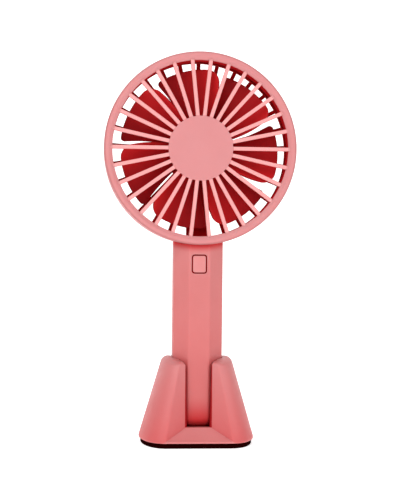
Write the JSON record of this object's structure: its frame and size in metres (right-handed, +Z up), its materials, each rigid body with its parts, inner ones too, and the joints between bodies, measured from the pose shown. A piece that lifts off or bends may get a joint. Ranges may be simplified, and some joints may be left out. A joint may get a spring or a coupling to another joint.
{
  "type": "handheld electric fan with stand",
  "caption": "Handheld electric fan with a round spoked grille, bladed rotor and octagonal battery handle, standing in a slotted socket stand with an anti-slip pad.",
  "frame": {"origin": "centre of the underside of the stand's anti-slip pad", "axes": "+Z up along the handle to the head; the fan blows towards -Y, so -Y is the front; +X is to the right as seen from the front"},
  "size_m": [0.092, 0.044, 0.1876],
  "materials": {
    "shell": "satin moulded plastic, salmon pink",
    "front_grille": "satin moulded plastic, paler salmon pink",
    "rear_grille": "satin moulded plastic, deep red",
    "blade": "smooth moulded plastic, red",
    "pad": "matt rubber, brown black",
    "steel": "zinc-plated steel",
    "motor_steel": "drawn steel and lamination stack",
    "copper": "enamelled copper wire and copper segments",
    "bronze": "sintered bronze",
    "nickel": "nickel strip",
    "magnet": "dark ferrite",
    "black_plastic": "black moulded plastic",
    "white_plastic": "white moulded nylon",
    "board": "green solder mask on glass-fibre laminate",
    "cell_wrap": "blue shrink wrap over the steel can of the cell",
    "wire_red": "red insulation",
    "wire_black": "black insulation",
    "foam": "grey foam tape",
    "clear": "clear acrylic"
  },
  "bodies": {
    "stand": {"stand_body": "shell", "stand_base_plate": "shell", "ballast_plate": "steel", "anti_slip_pad": "pad", "stand_screw_1": "steel", "stand_screw_2": "steel", "stand_screw_3": "steel", "stand_screw_4": "steel"},
    "fan": {"handle_front_shell": "shell", "handle_rear_shell": "shell", "head_ring": "shell", "rear_cover": "shell", "front_grille": "front_grille", "rear_grille": "rear_grille", "board_screw_1": "steel", "board_screw_2": "steel", "handle_screw_1": "steel", "handle_screw_2": "steel", "handle_screw_3": "steel", "motor_screw_1": "steel", "motor_screw_2": "steel", "usb_shell": "steel", "motor_can": "motor_steel", "motor_front_bush": "bronze", "motor_rear_bush": "bronze", "battery_positive_cap": "nickel", "battery_tab_positive": "nickel", "battery_tab_negative": "nickel", "motor_terminal_positive": "nickel", "motor_terminal_negative": "nickel", "motor_magnet_left": "magnet", "motor_magnet_right": "magnet", "switch_case": "black_plastic", "control_chip": "black_plastic", "usb_tongue": "black_plastic", "motor_end_cap": "white_plastic", "main_board": "board", "battery_cell": "cell_wrap", "lead_battery_positive": "wire_red", "lead_motor_positive": "wire_red", "lead_battery_negative": "wire_black", "lead_motor_negative": "wire_black", "battery_foam": "foam", "light_pipe": "clear", "charge_led": "clear"},
    "rotor": {"impeller": "blade", "motor_shaft": "steel", "armature_core": "motor_steel", "armature_coil_1": "copper", "armature_coil_2": "copper", "armature_coil_3": "copper", "commutator": "copper"},
    "button": {"power_button": "shell"},
    "switch": {"switch_plunger": "black_plastic"}
  },
  "joints": [
    {"name": "fan_lift", "type": "slide", "parent": "stand", "child": "fan", "axis": [0, 0, 1], "range_m": [0, 0.045]},
    {"name": "impeller_spin", "type": "hinge", "parent": "fan", "child": "rotor", "pos_m": [0, 0, 0.1416], "axis": [0, 1, 0], "continuous": true},
    {"name": "button_press", "type": "slide", "parent": "fan", "child": "button", "axis": [0, 1, 0], "range_m": [0, 0.0004], "stiffness_N_per_m": 600, "springref_m": -0.0002},
    {"name": "switch_press", "type": "slide", "parent": "fan", "child": "switch", "axis": [0, 1, 0], "range_m": [0, 0.0004], "stiffness_N_per_m": 300, "springref_m": -0.0002}
  ],
  "couplings": [
    {"joint": "switch_press", "follows": "button_press", "ratio": 1}
  ]
}
